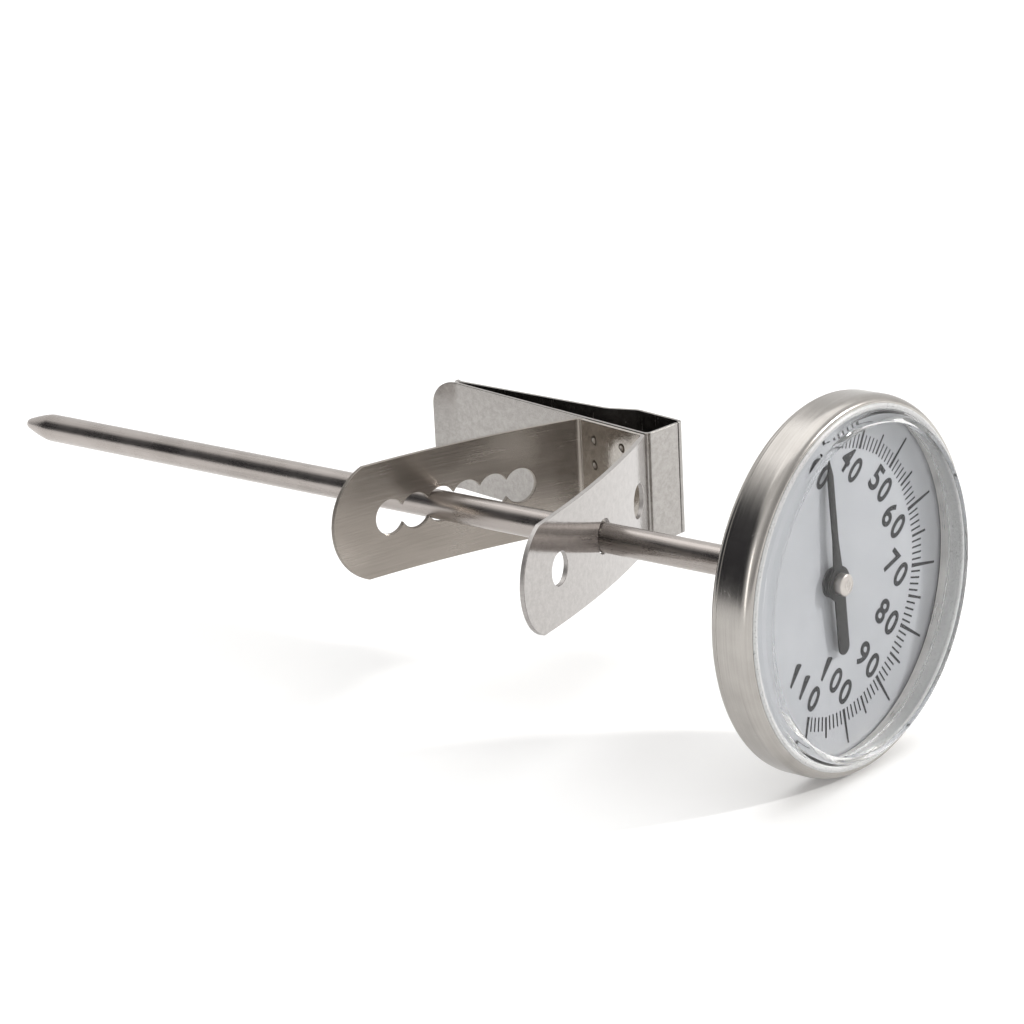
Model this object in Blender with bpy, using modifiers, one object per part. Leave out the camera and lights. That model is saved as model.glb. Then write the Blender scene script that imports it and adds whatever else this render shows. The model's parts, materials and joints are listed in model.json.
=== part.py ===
"""Dial thermometer with a bimetal stem and a folded steel jug clip.

The stem lies along +X with the dial facing +X, the clip's strips stand upright along +Z, and the
origin is on the clip's gripping plate, in the middle of its flat face. Lengths below are in
millimetres, and MM turns them into metres as each mesh is made. Along the stem, a place is given
as its distance from the front plane of the head, so everything behind that plane is negative.
"""
import math

import bmesh
import bpy

MM = 0.001
GAP = 0.3                       # clearance kept between pieces that touch

# Head
CASE_RADIUS = 23.0
CASE_BACK = -6.9
CASE_WALL = 0.35
BEZEL_WALL = 0.4
BEZEL_SEAM = -5.3               # rear edge of the bezel's skirt
BEZEL_ROUND = 1.0
BEZEL_CREST = -1.4
LENS_FRONT = 0.1
LENS_THICKNESS = 1.6
BOSS_DEPTH = 1.05               # how far the case back is pressed out around the stem
BOSS_RADIUS = 5.9

# Dial and pointer
DIAL_RADIUS = 21.5
DIAL_CENTRE = -6.0
DIAL_DISH = 1.15                # rise of the dished dial at DISH_RADIUS
DISH_RADIUS = 20.3
DIAL_THICKNESS = 0.25
DIAL_HOLE = 2.15
POINTER_BACK = -5.0
POINTER_THICKNESS = 0.25
POINTER_TIP = 15.6
POINTER_TAIL = 9.1
POINTER_ANGLE = 95.3            # degrees from +Y towards +Z, at a reading of about 30
POINTER_HUB = 2.15

# Stem and movement
STEM_RADIUS = 1.9
STEM_BORE = 1.55
STEM_END = -138.1
TIP_END = -143.3
SHAFT_RADIUS = 0.4
GUIDE_RADIUS = STEM_BORE - GAP
COIL_RADIUS = 1.0
COIL_WIRE = 0.17
COIL_TURNS = 10
COIL_START = -135.4
COIL_END = -111.1
NUT_FRONT = -9.15
NUT_THICKNESS = 3.5
NUT_ACROSS_FLATS = 9.5

# Clip
CLIP_FOLD = (-47.6, 18.8)       # the clip's front fold: along the stem, and out from its axis
CLIP_TILT = 10.3                # degrees between the clip's plate and the stem
STRIP_WIDTH = 15.0
BRACKET_THICKNESS = 0.6
PLATE_THICKNESS = 0.45
GRIP_POINT = 25.0               # from the front fold to the middle of the gripping face
BASE_LENGTH = 12.2
FOLD_RADIUS = 0.9
BASE_MIDDLE = -GAP - BRACKET_THICKNESS / 2
STEM_HOLE_RADIUS = 2.4
HOLE_PITCH = 4.0

ROUND_SEGMENTS = 64
SMALL_SEGMENTS = 24

PARTS = "dial_thermometer"
CUTTERS = "cutters"


def clear_scene():
    for obj in list(bpy.data.objects):
        bpy.data.objects.remove(obj, do_unlink=True)


def collection(name):
    found = bpy.data.collections.get(name)
    if found is None:
        found = bpy.data.collections.new(name)
        bpy.context.scene.collection.children.link(found)
    return found


def material(name, colour, roughness, metallic=0.0, transmission=0.0):
    made = bpy.data.materials.new(name)
    made.use_nodes = True
    shader = made.node_tree.nodes["Principled BSDF"]
    shader.inputs["Base Color"].default_value = (*colour, 1.0)
    shader.inputs["Roughness"].default_value = roughness
    shader.inputs["Metallic"].default_value = metallic
    shader.inputs["Transmission Weight"].default_value = transmission
    return made


def add_empty(name, location, parent=None, tilt=0.0):
    empty = bpy.data.objects.new(name, None)
    empty.location = [value * MM for value in location]
    empty.rotation_euler = (0.0, 0.0, math.radians(tilt))
    empty.parent = parent
    empty.empty_display_size = 3 * MM
    collection(PARTS).objects.link(empty)
    return empty


def add_object(name, data, finish, parent, group=PARTS):
    obj = bpy.data.objects.new(name, data)
    obj.parent = parent
    if finish is not None:
        data.materials.append(finish)
    collection(group).objects.link(obj)
    return obj


def make_cutter(obj):
    obj.hide_render = True
    obj.display_type = "WIRE"
    return obj


def boolean(obj, cutter, operation="DIFFERENCE"):
    modifier = obj.modifiers.new(operation.title(), "BOOLEAN")
    modifier.operation = operation
    modifier.solver = "EXACT"
    modifier.object = cutter


def arc(centre, radius, start, end, steps):
    """Points on an arc from one angle to another, in degrees, both ends included."""
    points = []
    for step in range(steps + 1):
        angle = math.radians(start + (end - start) * step / steps)
        points.append((centre[0] + radius * math.cos(angle), centre[1] + radius * math.sin(angle)))
    return points


# Turned pieces

def turned(name, profile, finish, parent, segments=ROUND_SEGMENTS, closed=True):
    """Turn a profile of (radius, place along the stem) points about the stem's axis."""
    mesh = bpy.data.meshes.new(name)
    points = [(radius * MM, 0.0, place * MM) for radius, place in profile]
    edges = [(index, index + 1) for index in range(len(points) - 1)]
    if closed:
        edges.append((len(points) - 1, 0))
    mesh.from_pydata(points, edges, [])
    obj = add_object(name, mesh, finish, parent)
    obj.rotation_euler = (0.0, math.radians(90), 0.0)
    screw = obj.modifiers.new("Turn", "SCREW")
    screw.axis = "Z"
    screw.steps = segments
    screw.render_steps = segments
    screw.use_merge_vertices = True
    screw.merge_threshold = 0.00001
    screw.use_smooth_shade = True
    return obj


def ring(name, inner, outer, back, front, finish, parent, segments=SMALL_SEGMENTS):
    """A plain ring of rectangular section."""
    profile = [(outer, front), (outer, back), (inner, back), (inner, front)]
    return turned(name, profile, finish, parent, segments)


# Flat and folded pieces

def outline_mesh(name, splines, depth):
    """A flat outline, with any holes as further splines, given a thickness as a welded mesh."""
    curve = bpy.data.curves.new(name, "CURVE")
    curve.dimensions = "2D"
    curve.fill_mode = "BOTH"
    curve.extrude = depth * MM / 2
    for points in splines:
        spline = curve.splines.new("POLY")
        spline.points.add(len(points) - 1)
        for point, (x, y) in zip(spline.points, points):
            point.co = (x * MM, y * MM, 0.0, 1.0)
        spline.use_cyclic_u = True
    source = bpy.data.objects.new(name, curve)
    bpy.context.scene.collection.objects.link(source)
    evaluated = source.evaluated_get(bpy.context.evaluated_depsgraph_get())
    mesh = bpy.data.meshes.new_from_object(evaluated)
    mesh.name = name
    bpy.data.objects.remove(source, do_unlink=True)
    bpy.data.curves.remove(curve)
    shape = bmesh.new()
    shape.from_mesh(mesh)
    bmesh.ops.remove_doubles(shape, verts=shape.verts, dist=0.000001)
    bmesh.ops.recalc_face_normals(shape, faces=shape.faces)
    shape.to_mesh(mesh)
    shape.free()
    return mesh


def strip_section(path, thickness):
    """The edge-on outline of a sheet that follows a path of its middle points."""
    sides = ([], [])
    last = len(path) - 1
    for index, (x, y) in enumerate(path):
        before = path[max(index - 1, 0)]
        after = path[min(index + 1, last)]
        if index == 0:
            before = (2 * x - after[0], 2 * y - after[1])
        if index == last:
            after = (2 * x - before[0], 2 * y - before[1])
        first = math.atan2(y - before[1], x - before[0])
        bend = math.remainder(math.atan2(after[1] - y, after[0] - x) - first, 2 * math.pi)
        along = first + bend / 2
        reach = thickness / 2 / math.cos(bend / 2)
        normal = (-math.sin(along) * reach, math.cos(along) * reach)
        sides[0].append((x + normal[0], y + normal[1]))
        sides[1].append((x - normal[0], y - normal[1]))
    return sides[0] + sides[1][::-1]


def folded_strip(name, path, thickness, finish, parent):
    """A strip of sheet, upright along Z, folded along a path in the plane of its parent."""
    mesh = outline_mesh(name, [strip_section(path, thickness)], STRIP_WIDTH)
    return add_object(name, mesh, finish, parent)


def upright_prism(name, outline, parent, location=(0.0, 0.0), angle=0.0):
    """A cutter whose outline stands upright: x runs along the sheet at an angle, y up along Z."""
    mesh = outline_mesh(name, [outline], 20.0)
    cutter = make_cutter(add_object(name, mesh, None, parent, CUTTERS))
    cutter.location = (location[0] * MM, location[1] * MM, 0.0)
    cutter.rotation_euler = (math.radians(90), 0.0, math.radians(angle))
    return cutter


def rounded_end(start, straight_to, end, narrowing=0.0):
    """A strip's outline whose far end is one arc through both corners and the end point.

    The lower edge rises evenly by the narrowing, from the start of the leg to the arc.
    """
    half = STRIP_WIDTH / 2
    rise = end - straight_to
    chord = half - narrowing / 2
    radius = (chord ** 2 + rise ** 2) / (2 * rise)
    spread = math.degrees(math.asin(chord / radius))
    points = arc((end - radius, narrowing / 2), radius, -spread, spread, 20)
    lower = [(start, -half - 1.0), (straight_to, -half - 1.0)]
    if narrowing:
        lower = [(start, -half - 1.0), (0.0, -half - 0.1)]
    return lower + points + [(straight_to, half + 1.0), (start, half + 1.0)]


def rounded_corners(near, far, radius):
    """A strip's outline, wider than the strip at its near end, with two rounded far corners."""
    half = STRIP_WIDTH / 2
    side = 1.0 if far > near else -1.0
    upper = arc((far - side * radius, half - radius), radius, 90, 0, 8)
    if side < 0:
        upper = arc((far + radius, half - radius), radius, 90, 180, 8)
    lower = [(x, -y) for x, y in reversed(upper)]
    start = far - side * radius
    return [(near, -half - 1.0), (near, half + 1.0), (start, half + 1.0)] + upper + lower + [
        (start, -half - 1.0)]


def round_slot(centre, straight, radius):
    """A round hole drawn out along the strip by a short straight."""
    right = arc((centre + straight / 2, 0.0), radius, -90, 90, 12)
    left = arc((centre - straight / 2, 0.0), radius, 90, 270, 12)
    return right + left


def hole_chain(first, pitch, count, radius):
    """The outline of a row of round holes that run into each other."""
    neck = math.degrees(math.acos(pitch / 2 / radius))
    top = []
    for index in range(count):
        start = 180 if index == 0 else 180 - neck
        end = 0 if index == count - 1 else neck
        arc_points = arc((first + index * pitch, 0.0), radius, start, end, 9)
        top += arc_points if index == 0 else arc_points[1:]
    bottom = [(x, -y) for x, y in reversed(top[1:-1])]
    return top + bottom


# The head

def dial_height(radius):
    return DIAL_CENTRE + DIAL_DISH * (radius / DISH_RADIUS) ** 2


def build_case_back(finish, parent):
    sleeve_outer = CASE_RADIUS - BEZEL_WALL - GAP
    sleeve_inner = sleeve_outer - BEZEL_WALL
    sleeve_top = -3.55
    inside = CASE_BACK + CASE_WALL
    boss_back = CASE_BACK - BOSS_DEPTH
    hole = STEM_RADIUS + GAP
    corner = arc((CASE_RADIUS - BEZEL_ROUND, CASE_BACK + BEZEL_ROUND), BEZEL_ROUND, 0, -90, 5)
    profile = [
        (sleeve_outer, sleeve_top), (sleeve_outer, BEZEL_SEAM - GAP), (CASE_RADIUS, BEZEL_SEAM - GAP),
        *corner,
        (BOSS_RADIUS, CASE_BACK), (BOSS_RADIUS - 0.5, boss_back), (hole, boss_back),
        (hole, boss_back + CASE_WALL), (BOSS_RADIUS - 1.0, boss_back + CASE_WALL),
        (BOSS_RADIUS - 0.5, inside), (sleeve_inner - 0.4, inside), (sleeve_inner, inside + 0.4),
        (sleeve_inner, sleeve_top),
    ]
    turned("case_back", profile, finish, parent)


def build_bezel(finish, parent):
    centre = (CASE_RADIUS - BEZEL_ROUND, BEZEL_CREST - BEZEL_ROUND)
    inner_round = BEZEL_ROUND - BEZEL_WALL
    profile = [
        *arc(centre, BEZEL_ROUND, 90, 0, 6),
        (CASE_RADIUS, BEZEL_SEAM), (CASE_RADIUS - BEZEL_WALL, BEZEL_SEAM),
        *arc(centre, inner_round, 0, 90, 4),
    ]
    turned("bezel_ring", profile, finish, parent)


def build_lens(finish, parent):
    wall = CASE_RADIUS - BEZEL_ROUND - GAP
    flange = 22.25
    flange_front = -2.15
    flange_back = -2.65
    recess = 20.7
    back = LENS_FRONT - LENS_THICKNESS
    profile = [
        (0.0, LENS_FRONT), (20.3, LENS_FRONT), (21.1, -0.7), (wall, -1.0), (wall, flange_front),
        (flange, flange_front), (flange, flange_back), (recess, flange_back), (recess, back),
        (0.0, back),
    ]
    turned("lens", profile, finish, parent, closed=False)


def build_dial(finish, parent):
    radii = [DIAL_RADIUS - (DIAL_RADIUS - DIAL_HOLE) * step / 6 for step in range(7)]
    back = [(radius, dial_height(radius) - DIAL_THICKNESS) for radius in radii]
    front = [(radius, dial_height(radius)) for radius in reversed(radii)]
    turned("dial_plate", back + front, finish, parent)


def build_head(finishes, parent):
    build_case_back(finishes["steel"], parent)
    build_bezel(finishes["steel"], parent)
    build_lens(finishes["clear"], parent)
    ring("lens_gasket", 21.9, 22.3, -3.25, -2.95, finishes["gasket"], parent, ROUND_SEGMENTS)
    ring("dial_spacer_ring", 21.15, 21.6, -4.4, -2.95, finishes["aluminium"], parent, ROUND_SEGMENTS)
    build_dial(finishes["dial"], parent)


# The pointer, its shaft and the bimetal coil

def pointer_outline():
    """Hub, tapered arm and round counterweight tail, in the plane of the dial."""
    arm = 0.55
    root = 0.85
    tail = 1.05
    side = [(arm, 13.6), (arm, 5.5), (root, math.sqrt(POINTER_HUB ** 2 - root ** 2))]
    start = math.degrees(math.atan2(side[-1][1], root))
    end = -math.degrees(math.acos(tail / POINTER_HUB))
    side += arc((0.0, 0.0), POINTER_HUB, start, end, 7)[1:]
    side += arc((0.0, tail - POINTER_TAIL), tail, 0, -80, 6)
    mirrored = [(-x, y) for x, y in reversed(side)]
    outline = [(0.0, POINTER_TIP)] + side + [(0.0, -POINTER_TAIL)] + mirrored
    turn = math.radians(POINTER_ANGLE - 90)
    return [(x * math.cos(turn) - y * math.sin(turn), x * math.sin(turn) + y * math.cos(turn))
            for x, y in outline]


def build_pointer(finish, parent):
    hole = arc((0.0, 0.0), SHAFT_RADIUS + GAP, 0, 345, 23)
    mesh = outline_mesh("pointer", [pointer_outline(), hole], POINTER_THICKNESS)
    obj = add_object("pointer", mesh, finish, parent)
    obj.location = ((POINTER_BACK + POINTER_THICKNESS / 2) * MM, 0.0, 0.0)
    obj.rotation_euler = (math.radians(90), 0.0, math.radians(90))


def build_pointer_cap(finish, parent):
    back = POINTER_BACK + POINTER_THICKNESS + GAP
    front = -3.7
    profile = [
        (0.0, front), (1.05, front), (1.28, front - 0.12), (1.35, front - 0.35), (1.35, back),
        (SHAFT_RADIUS + GAP, back), (SHAFT_RADIUS + GAP, front - GAP), (0.0, front - GAP),
    ]
    turned("pointer_cap", profile, finish, parent, SMALL_SEGMENTS, closed=False)


def build_coil(finish, parent):
    curve = bpy.data.curves.new("bimetal_coil", "CURVE")
    curve.dimensions = "3D"
    curve.bevel_depth = COIL_WIRE * MM
    curve.bevel_resolution = 2
    curve.use_fill_caps = True
    steps = 10 * COIL_TURNS
    spline = curve.splines.new("POLY")
    spline.points.add(steps)
    for step, point in enumerate(spline.points):
        angle = 2 * math.pi * COIL_TURNS * step / steps
        place = COIL_START + (COIL_END - COIL_START) * step / steps
        point.co = (place * MM, COIL_RADIUS * math.cos(angle) * MM, COIL_RADIUS * math.sin(angle) * MM, 1.0)
    add_object("bimetal_coil", curve, finish, parent)


def build_movement(finishes, stem, needle):
    build_pointer(finishes["pointer"], needle)
    build_pointer_cap(finishes["aluminium"], needle)
    shaft = [(0.0, -4.3), (SHAFT_RADIUS, -4.3), (SHAFT_RADIUS, -110.6), (0.0, -110.6)]
    turned("pointer_shaft", shaft, finishes["wire"], needle, 16, closed=False)
    ring("coil_collar", SHAFT_RADIUS + GAP, 1.2, -110.6, -109.4, finishes["brass"], needle)
    build_coil(finishes["bimetal"], stem)
    anchor = [(0.0, -135.9), (1.2, -135.9), (1.2, -136.6), (0.0, -136.6)]
    turned("coil_anchor", anchor, finishes["brass"], stem, SMALL_SEGMENTS, closed=False)
    ring("lower_guide", SHAFT_RADIUS + GAP, GUIDE_RADIUS, -105.0, -102.0, finishes["nylon"], stem)
    bore = SHAFT_RADIUS + GAP
    bearing = [(1.85, -5.75), (1.85, -6.05), (GUIDE_RADIUS, -6.05), (GUIDE_RADIUS, -8.5),
               (bore, -8.5), (bore, -5.75)]
    turned("upper_bearing", bearing, finishes["nylon"], stem, SMALL_SEGMENTS)


# The stem

def build_stem(finishes, parent):
    ring("stem_tube", STEM_BORE, STEM_RADIUS, STEM_END, -6.35, finishes["steel"], parent, 32)
    shoulder = STEM_END - GAP
    tip = [(0.0, -136.9), (1.2, -136.9), (1.2, shoulder), (STEM_RADIUS, shoulder),
           (0.75, TIP_END + 0.55), (0.5, TIP_END + 0.2), (0.0, TIP_END)]
    turned("stem_tip", tip, finishes["steel"], parent, 32, closed=False)
    ring("stem_flange", STEM_RADIUS + GAP, 4.4, -7.3, -6.75, finishes["steel"], parent)
    washer = [(4.6, -8.25), (4.6, -8.5), (2.3, -8.85), (2.3, -8.6)]
    turned("spring_washer", washer, finishes["spring"], parent, 32)
    build_nut(finishes["steel"], parent)


def build_nut(finish, parent):
    """The hexagonal nut that is held while the head is turned to set the reading."""
    middle = NUT_FRONT - NUT_THICKNESS / 2
    mesh = bpy.data.meshes.new("calibration_nut")
    shape = bmesh.new()
    corner = NUT_ACROSS_FLATS / 2 / math.cos(math.radians(30))
    bmesh.ops.create_cone(shape, cap_ends=True, segments=6, radius1=corner * MM, radius2=corner * MM,
                          depth=NUT_THICKNESS * MM)
    shape.to_mesh(mesh)
    shape.free()
    nut = add_object("calibration_nut", mesh, finish, parent)
    nut.location = (middle * MM, 0.0, 0.0)
    nut.rotation_euler = (0.0, math.radians(90), 0.0)
    soften = nut.modifiers.new("Soften", "BEVEL")
    soften.width = 0.25 * MM
    soften.segments = 1
    bore = bpy.data.meshes.new("nut_bore")
    shape = bmesh.new()
    radius = (STEM_RADIUS + GAP) * MM
    bmesh.ops.create_cone(shape, cap_ends=True, segments=SMALL_SEGMENTS, radius1=radius, radius2=radius,
                          depth=3 * NUT_THICKNESS * MM)
    shape.to_mesh(bore)
    shape.free()
    cutter = make_cutter(add_object("nut_bore", bore, None, parent, CUTTERS))
    cutter.location = nut.location
    cutter.rotation_euler = nut.rotation_euler
    boolean(nut, cutter)


# The clip. Its own frame has x along the plate towards the dial and y away from the stem.

def bowed_path(start, heading, length, bow_radius, steps):
    """Points along a sheet that leaves in one direction and curves gently, towards the left."""
    points = [start]
    step_length = length / steps
    for step in range(steps):
        angle = math.radians(heading) + (step + 0.5) * step_length / bow_radius
        last = points[-1]
        points.append((last[0] + step_length * math.cos(angle), last[1] + step_length * math.sin(angle)))
    return points


def build_rear_leg(finish, clip):
    """The leg nearer the stem's tip, with a chain of holes that sets the clip's slant."""
    heading = -104.5
    centre = (-BASE_LENGTH + 0.7, BASE_MIDDLE - FOLD_RADIUS)
    hinge = add_empty("rear_leg_hinge", (*centre, 0.0), clip)
    fold = arc((0.0, 0.0), FOLD_RADIUS, 90, 180 + heading + 90, 5)
    path = fold + bowed_path(fold[-1], heading, 39.0, 128.0, 8)[1:]
    leg = folded_strip("rear_leg", path, BRACKET_THICKNESS, finish, hinge)
    corner = (-BASE_LENGTH - centre[0], -centre[1])
    outline = upright_prism("rear_leg_outline", rounded_end(-3.0, 33.6, 38.8), hinge, corner, -97.0)
    holes = hole_chain(9.75, HOLE_PITCH, 6, STEM_HOLE_RADIUS)
    slot = upright_prism("rear_leg_holes", holes, hinge, corner, -97.0)
    boolean(leg, outline, "INTERSECT")
    boolean(leg, slot)


def build_front_leg(finish, clip):
    """The leg nearer the dial, with three separate holes for the stem."""
    heading = -55.8
    centre = (-0.19, BASE_MIDDLE - FOLD_RADIUS)
    hinge = add_empty("front_leg_hinge", (*centre, 0.0), clip)
    fold = arc((0.0, 0.0), FOLD_RADIUS, 90, 90 + heading, 4)
    path = fold + bowed_path(fold[-1], heading, 46.0, -209.0, 8)[1:]
    leg = folded_strip("front_leg", path, BRACKET_THICKNESS, finish, hinge)
    corner = (-centre[0], -centre[1])
    outline = upright_prism("front_leg_outline", rounded_end(-3.0, 39.5, 44.4, 1.1), hinge, corner, -61.0)
    boolean(leg, outline, "INTERSECT")
    holes = ((5.1, 0.0, STEM_HOLE_RADIUS - 0.1), (19.9, 0.0, STEM_HOLE_RADIUS - 0.1), (34.5, 0.45, 2.05))
    for number, (place, rise, radius) in enumerate(holes, start=1):
        slot = [(x, y + rise) for x, y in round_slot(place, 0.5, radius)]
        hole = upright_prism(f"front_leg_hole_{number}", slot, hinge, corner, -61.0)
        boolean(leg, hole)


def build_spot_welds(finish, clip, base, plate):
    """Weld nuggets that hold the bracket's base to the plate, each in its own pair of holes."""
    nugget = 0.7
    back = BASE_MIDDLE - BRACKET_THICKNESS / 2 - 0.1
    front = PLATE_THICKNESS + 0.1
    number = 0
    for x in (-9.0, -3.6):
        for z in (-5.1, -1.7, 1.7, 5.1):
            number += 1
            dome = [(0.0, front), (0.45, front), (nugget, front - 0.1), (nugget, back + 0.1),
                    (0.45, back), (0.0, back)]
            weld = turned(f"spot_weld_{number}", dome, finish, clip, 12, closed=False)
            weld.rotation_euler = (math.radians(-90), 0.0, 0.0)
            weld.location = (x * MM, 0.0, z * MM)
            circle = arc((x, z), nugget + 0.25, 0, 345, 15)
            cutter = upright_prism(f"weld_hole_{number}", circle, clip)
            boolean(base, cutter)
            boolean(plate, cutter)


def build_clip(finishes, clip):
    base_path = [(-BASE_LENGTH + 0.7 + GAP, BASE_MIDDLE), (-0.19 - GAP, BASE_MIDDLE)]
    base = folded_strip("bracket_base", base_path, BRACKET_THICKNESS, finishes["steel"], clip)
    middle = PLATE_THICKNESS / 2
    bend = 0.7
    plate_path = [
        (-42.0, middle - 1.45), (-38.0, middle),
        *arc((-0.65, middle + bend), bend, -90, 8, 6),
        (-0.7, 6.1),
    ]
    plate = folded_strip("jug_plate", plate_path, PLATE_THICKNESS, finishes["satin"], clip)
    outline = upright_prism("jug_plate_outline", rounded_corners(5.0, -41.8, 3.2), clip)
    boolean(plate, outline, "INTERSECT")
    build_spot_welds(finishes["steel"], clip, base, plate)
    build_leaf(finishes["satin"], clip)
    build_rear_leg(finishes["steel"], clip)
    build_front_leg(finishes["steel"], clip)


def build_leaf(finish, clip):
    """The sprung leaf that presses the jug's wall against the plate."""
    centre = (-1.45, 6.4)
    hinge = add_empty("leaf_hinge", (*centre, 0.0), clip)
    points = [*arc((0.0, 0.0), 0.7, 0, 90, 5), (-9.4, 7.1), (-13.0, 4.95), (-38.6, 1.03), (-40.8, 1.85)]
    path = points[:6] + [(x - centre[0], y - centre[1]) for x, y in points[6:]]
    leaf = folded_strip("jug_spring_leaf", path, PLATE_THICKNESS, finish, hinge)
    outline = upright_prism("leaf_outline", rounded_corners(5.0, -40.6, 1.5), clip)
    boolean(leaf, outline, "INTERSECT")


def make_finishes():
    steel = (0.62, 0.60, 0.57)
    return {
        "steel": material("brushed stainless steel", steel, 0.32, 1.0),
        "satin": material("satin stainless steel", (0.60, 0.58, 0.56), 0.42, 1.0),
        "spring": material("spring steel", (0.45, 0.44, 0.43), 0.35, 1.0),
        "aluminium": material("bright aluminium", (0.78, 0.77, 0.75), 0.3, 1.0),
        "clear": material("clear crystal", (0.97, 0.98, 0.98), 0.05, 0.0, 0.9),
        "gasket": material("white silicone", (0.80, 0.80, 0.80), 0.6),
        "dial": material("white enamelled dial", (0.74, 0.75, 0.77), 0.4),
        "pointer": material("black pointer lacquer", (0.05, 0.05, 0.055), 0.45),
        "wire": material("drawn steel wire", (0.5, 0.5, 0.5), 0.3, 1.0),
        "brass": material("turned brass", (0.72, 0.55, 0.25), 0.3, 1.0),
        "bimetal": material("bimetal strip", (0.55, 0.48, 0.38), 0.35, 1.0),
        "nylon": material("black nylon", (0.02, 0.02, 0.022), 0.5),
    }


def main():
    clear_scene()
    finishes = make_finishes()
    tilt = math.radians(CLIP_TILT)
    fold_x = GRIP_POINT * math.cos(tilt) - PLATE_THICKNESS * math.sin(tilt)
    fold_y = -GRIP_POINT * math.sin(tilt) - PLATE_THICKNESS * math.cos(tilt)
    clip = add_empty("clip_frame", (fold_x, fold_y, 0.0), None, -CLIP_TILT)
    axis = (fold_x - CLIP_FOLD[0], fold_y - CLIP_FOLD[1], 0.0)
    stem = add_empty("stem_axis", axis)
    head = add_empty("head_axis", (0.0, 0.0, 0.0), stem)
    needle = add_empty("needle_axis", (0.0, 0.0, 0.0), stem)
    bpy.context.view_layer.update()
    build_head(finishes, head)
    build_movement(finishes, stem, needle)
    build_stem(finishes, stem)
    build_clip(finishes, clip)
    bpy.context.view_layer.update()


main()
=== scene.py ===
"""Looks for the dial thermometer: finished sheet metal, head, dial printing, stem and studio.

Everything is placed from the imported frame. Lengths are in millimetres, and MM turns them into
metres as each mesh is made. The stem lies along +X with the dial facing +X, and a place along it is
given as its distance from the front plane of the head, so what is behind that plane is negative.
"""
import json
import math

import bmesh
import bpy
from mathutils import Matrix, Vector


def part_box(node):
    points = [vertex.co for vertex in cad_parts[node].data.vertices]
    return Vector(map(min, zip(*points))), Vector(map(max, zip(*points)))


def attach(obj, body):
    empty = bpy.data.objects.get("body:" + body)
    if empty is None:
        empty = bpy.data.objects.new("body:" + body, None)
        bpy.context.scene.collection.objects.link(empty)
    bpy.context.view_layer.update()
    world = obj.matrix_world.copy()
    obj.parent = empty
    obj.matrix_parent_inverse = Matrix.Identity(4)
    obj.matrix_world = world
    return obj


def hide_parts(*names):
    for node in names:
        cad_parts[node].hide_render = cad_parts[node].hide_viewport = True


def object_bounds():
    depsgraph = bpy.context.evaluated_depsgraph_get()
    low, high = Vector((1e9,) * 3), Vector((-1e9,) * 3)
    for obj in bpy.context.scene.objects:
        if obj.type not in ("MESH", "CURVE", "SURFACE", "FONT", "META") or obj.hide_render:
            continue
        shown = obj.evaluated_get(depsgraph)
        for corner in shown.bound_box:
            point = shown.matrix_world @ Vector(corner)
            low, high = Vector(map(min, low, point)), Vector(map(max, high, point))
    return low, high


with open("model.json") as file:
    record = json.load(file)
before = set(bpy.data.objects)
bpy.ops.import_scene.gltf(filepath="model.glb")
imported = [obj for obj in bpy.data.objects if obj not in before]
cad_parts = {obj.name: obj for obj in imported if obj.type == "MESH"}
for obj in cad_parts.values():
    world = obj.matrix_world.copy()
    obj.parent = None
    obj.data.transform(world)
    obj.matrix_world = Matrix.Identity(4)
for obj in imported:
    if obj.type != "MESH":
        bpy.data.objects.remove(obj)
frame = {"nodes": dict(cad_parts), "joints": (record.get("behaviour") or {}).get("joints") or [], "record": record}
cad_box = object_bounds()

MM = 0.001

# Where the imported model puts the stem's axis, the head's front plane and the clip
LENS_LOW, LENS_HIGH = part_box("lens")
LENS_PROUD = 0.1 * MM
HEAD_FRONT = Vector((LENS_HIGH.x - LENS_PROUD, (LENS_LOW.y + LENS_HIGH.y) / 2, 0.0))
JOINTS = {joint["name"]: joint for joint in frame["joints"]}
GRIP_AXIS = Vector(frame["record"]["mounts"][0]["axis"])
CLIP_TURN = -math.atan2(GRIP_AXIS.x, GRIP_AXIS.y)

# Head
CASE_RADIUS = 23.0
CASE_BACK = -6.9
SHEET = 0.4
BEZEL_SEAM = -5.85
BEZEL_CREST = -1.4
BEZEL_ROUND = 1.0
BEZEL_DROP = 1.6
BOSS_RADIUS = 5.9
BOSS_BACK = -7.95
SLEEVE_FRONT = -3.6
CLEARANCE = 0.25

# Lens: a flat disc with a rim round it, and the fine seam between the two
LENS_FLAT = 19.9
LENS_FACE = 0.1
LENS_BACK = -1.0
LENS_SEAM = 0.02

# Dial and printing
DIAL_RADIUS = 21.5
DIAL_CENTRE = -6.0
DIAL_DISH = 1.15
DISH_RADIUS = 20.3
DIAL_HOLE = 1.85
DIAL_SHEET = 0.25
DIAL_STEPS = 14
PRINT_LIFT = 0.03
LOWEST_MARK = 30
HIGHEST_MARK = 110
POINTER_READING = 30.5
POINTER_ANGLE = 95.3
DEGREES_PER_MARK = 2.62
LABEL_TURN = -49.0
DIGIT_HEIGHT = 3.3
DIGIT_WIDTH = 1.95
DIGIT_PITCH = 2.55
TYPE_SIZE = 4.0
STROKE_SWELL = 0.11
# Each kind of mark: inner and outer distance from the dial's centre, and width at each
DEGREE_MARK = (16.1, 17.8, 0.24, 0.24)
FIVE_MARK = (16.2, 18.7, 0.36, 0.30)
TEN_MARK = (16.1, 20.4, 0.50, 0.30)
MARK_STEPS = 6
# Each number's middle: distance from the dial's centre, and its turn past its own mark
LABEL_SPOTS = {30: (14.7, 3.6), 40: (14.15, 3.7), 50: (13.8, 0.0), 60: (13.3, 1.0), 70: (13.1, 0.0),
               80: (13.1, 0.0), 90: (13.3, 0.0), 100: (12.2, -3.7), 110: (12.9, -7.7)}

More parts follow.
